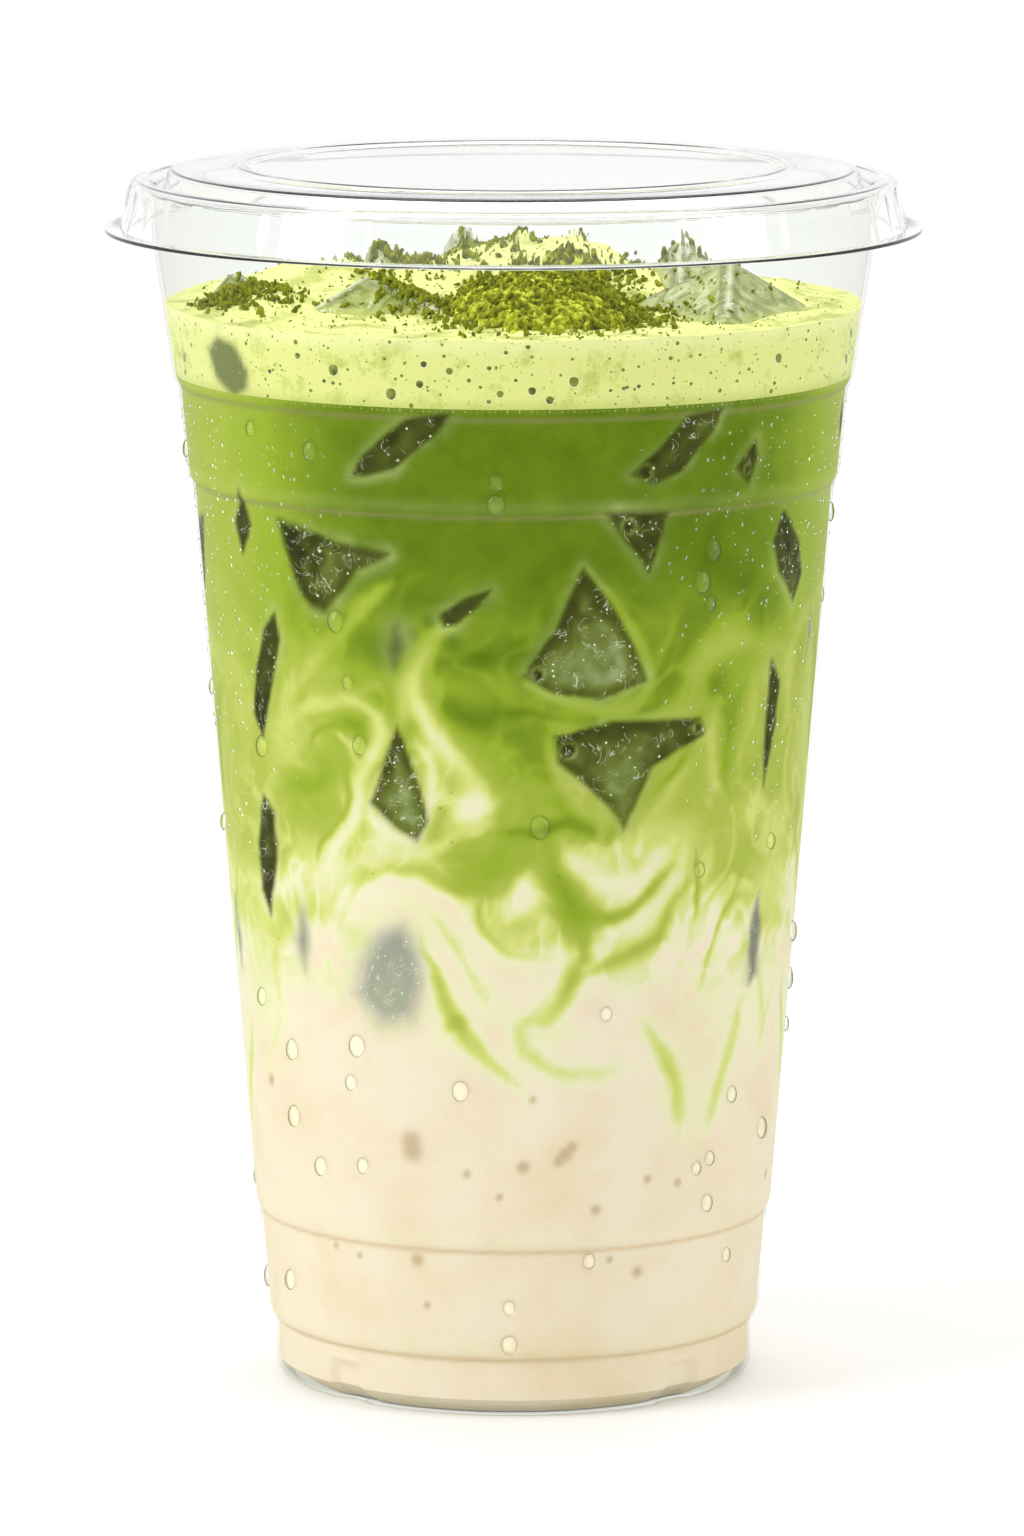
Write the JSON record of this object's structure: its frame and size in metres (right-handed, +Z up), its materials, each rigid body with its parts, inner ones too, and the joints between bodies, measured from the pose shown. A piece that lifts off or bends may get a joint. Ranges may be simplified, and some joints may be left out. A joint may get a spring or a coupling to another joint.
{
  "type": "iced matcha latte in a lidded takeaway cup",
  "caption": "Tall clear ribbed takeaway cup with a flat clear lid, holding layered milk and green matcha latte under a pale foam with ice blocks and matcha powder.",
  "frame": {"origin": "centre of the ring that the cup stands on", "axes": "+Z up along the cup's axis, -Y towards the side shown, +X to the right of that side"},
  "size_m": [0.1068, 0.1068, 0.1606],
  "materials": {
    "clear_pet": "clear glossy thermoformed PET",
    "clear_pet_lid": "clear glossy thermoformed PET",
    "milk": "opaque cream-coloured liquid",
    "matcha_latte": "opaque green liquid",
    "matcha_foam": "fine pale green milk foam",
    "matcha_powder": "dry clumped green powder",
    "ice": "wet melting ice"
  },
  "bodies": {
    "root": {"cup": "clear_pet", "lid": "clear_pet_lid", "milk": "milk", "matcha_latte": "matcha_latte", "foam": "matcha_foam", "matcha_heap": "matcha_powder", "matcha_heap_back": "matcha_powder", "ice_front_left": "ice", "ice_front_right": "ice", "ice_back_right": "ice", "ice_back_left": "ice", "ice_back": "ice", "ice_left": "ice"}
  },
  "joints": []
}
